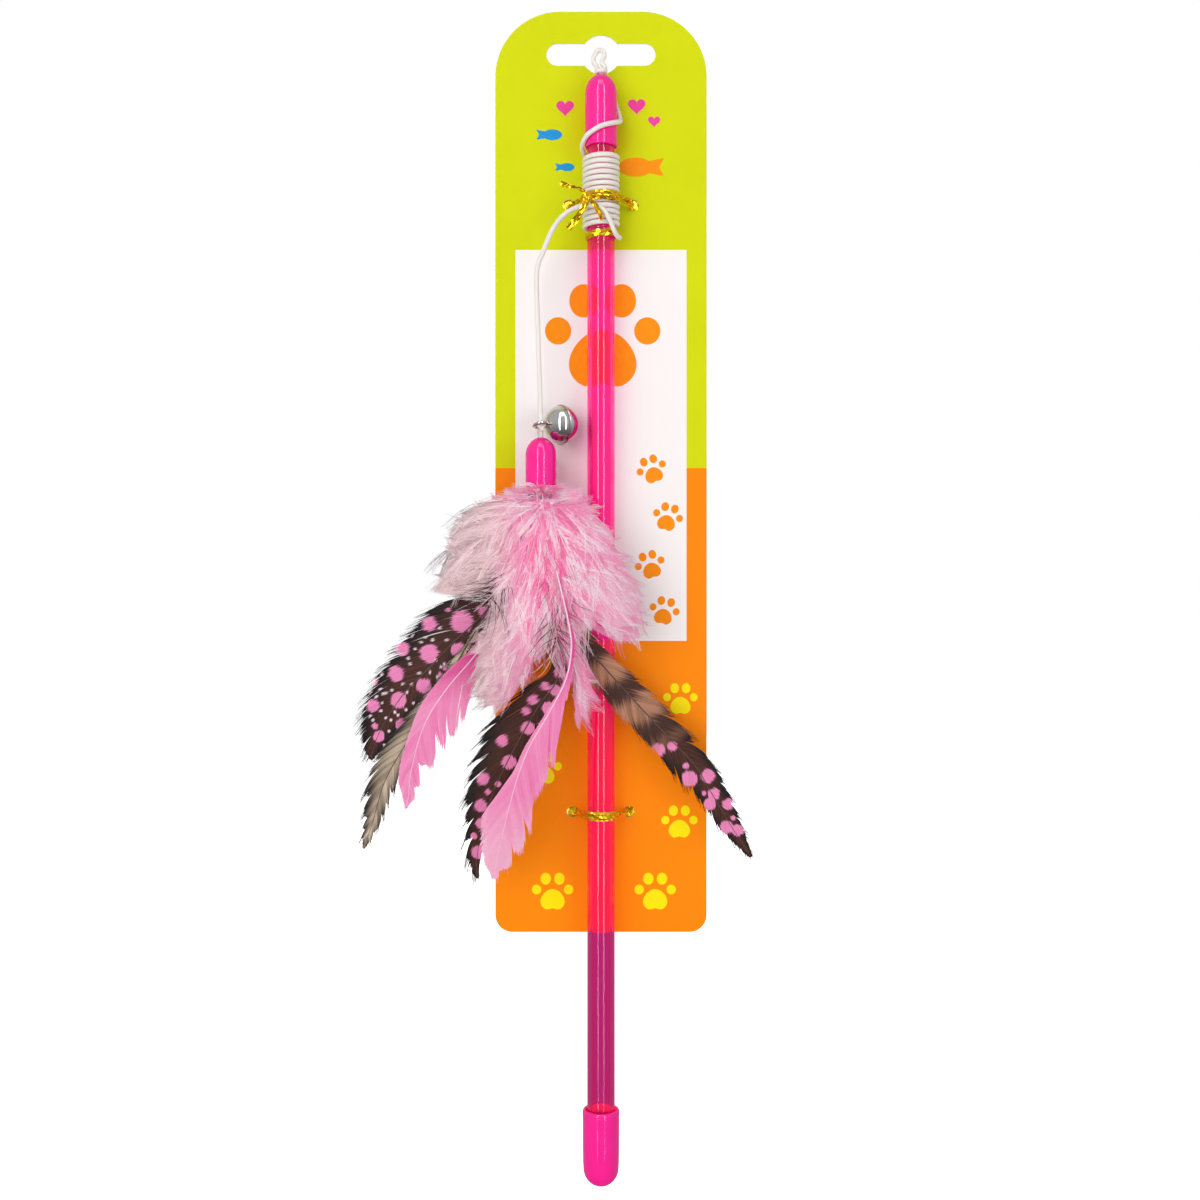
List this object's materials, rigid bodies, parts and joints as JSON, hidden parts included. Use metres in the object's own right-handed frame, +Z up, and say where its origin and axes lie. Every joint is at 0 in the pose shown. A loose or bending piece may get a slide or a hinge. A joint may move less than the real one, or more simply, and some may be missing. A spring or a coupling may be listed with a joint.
{
  "type": "cat teaser wand",
  "caption": "Clear pink cat teaser wand tied to a hang card, with an elastic cord wound at the tip and a free lure of bell, cap, fluff and feathers.",
  "frame": {"origin": "middle of the card's hang slot, at mid-thickness of the card", "axes": "+X to the viewer's right, +Y through the card to its back, +Z up as it hangs"},
  "size_m": [0.1131, 0.0237, 0.3421],
  "materials": {
    "printed_card": "printed",
    "clear_pink_tube": "clear",
    "pink_vinyl": "gloss",
    "white_cord": "braided",
    "clear_strand": "clear",
    "gold_foil": "crumpled foil",
    "bell_steel": "polished",
    "glue": "moulded",
    "marabou": "fluffy",
    "pink_feather": "satin",
    "spotted_feather": "satin",
    "grey_feather": "satin",
    "barred_feather": "satin"
  },
  "bodies": {
    "card_and_wand": {"backing_card": "printed_card", "wand_tube": "clear_pink_tube", "tip_cap": "pink_vinyl", "grip_cap": "pink_vinyl", "tip_inner_knot": "white_cord", "tip_knot": "white_cord", "tip_loop": "white_cord", "cord_lead": "white_cord", "cord_winding": "white_cord", "cord_arc": "white_cord", "upper_twist_tie": "gold_foil", "cord_end_tie": "gold_foil", "lower_twist_tie": "gold_foil"},
    "drop": {"cord_drop": "white_cord"},
    "lure": {"cord_knot": "white_cord", "tie_strands": "clear_strand", "lure_inner_knot": "clear_strand", "lure_cap": "pink_vinyl", "lure_plug": "glue", "marabou_left": "marabou", "marabou_right": "marabou", "marabou_back": "marabou"},
    "bell": {"bell_eyelet": "bell_steel", "bell_upper_half": "bell_steel", "bell_lower_half": "bell_steel"},
    "pellet": {"bell_pellet": "bell_steel"},
    "spotted_left": {"spotted_left_feather": "spotted_feather"},
    "grey_left": {"grey_left_feather": "grey_feather"},
    "pink_left": {"pink_left_feather": "pink_feather"},
    "barred_right": {"barred_right_feather": "barred_feather"},
    "spotted_middle": {"spotted_middle_feather": "spotted_feather"},
    "pink_middle": {"pink_middle_feather": "pink_feather"}
  },
  "joints": [
    {"name": "drop_swing", "type": "hinge", "parent": "card_and_wand", "child": "drop", "pos_m": [-0.0184, -0.00965, -0.066], "axis": [0, 1, 0], "range_deg": [-2, 45]},
    {"name": "lure_tilt", "type": "hinge", "parent": "drop", "child": "lure", "pos_m": [-0.0172, -0.00965, -0.1098], "axis": [1, 0, 0], "range_deg": [-40, 0]},
    {"name": "bell_turn", "type": "hinge", "parent": "lure", "child": "bell", "pos_m": [-0.0172, -0.00965, -0.1098], "axis": [0, 0, 1], "range_deg": [-60, 0]},
    {"name": "pellet_rattle", "type": "slide", "parent": "bell", "child": "pellet", "axis": [0, 0, 1], "range_m": [0, 0.0068]},
    {"name": "spotted_left_flex", "type": "hinge", "parent": "lure", "child": "spotted_left", "pos_m": [-0.0172, -0.00745, -0.133], "axis": [0, 1, 0], "range_deg": [-5, 5], "stiffness_Nm_per_rad": 0.01},
    {"name": "grey_left_flex", "type": "hinge", "parent": "lure", "child": "grey_left", "pos_m": [-0.0172, -0.00855, -0.133], "axis": [0, 1, 0], "range_deg": [-5, 5], "stiffness_Nm_per_rad": 0.01},
    {"name": "pink_left_flex", "type": "hinge", "parent": "lure", "child": "pink_left", "pos_m": [-0.0172, -0.00965, -0.133], "axis": [0, 1, 0], "range_deg": [-5, 5], "stiffness_Nm_per_rad": 0.01},
    {"name": "barred_right_flex", "type": "hinge", "parent": "lure", "child": "barred_right", "pos_m": [-0.0172, -0.01075, -0.133], "axis": [0, 1, 0], "range_deg": [-5, 5], "stiffness_Nm_per_rad": 0.01},
    {"name": "spotted_middle_flex", "type": "hinge", "parent": "lure", "child": "spotted_middle", "pos_m": [-0.0172, -0.01185, -0.133], "axis": [0, 1, 0], "range_deg": [-5, 5], "stiffness_Nm_per_rad": 0.01},
    {"name": "pink_middle_flex", "type": "hinge", "parent": "lure", "child": "pink_middle", "pos_m": [-0.0172, -0.01295, -0.133], "axis": [0, 1, 0], "range_deg": [-5, 5], "stiffness_Nm_per_rad": 0.01}
  ]
}
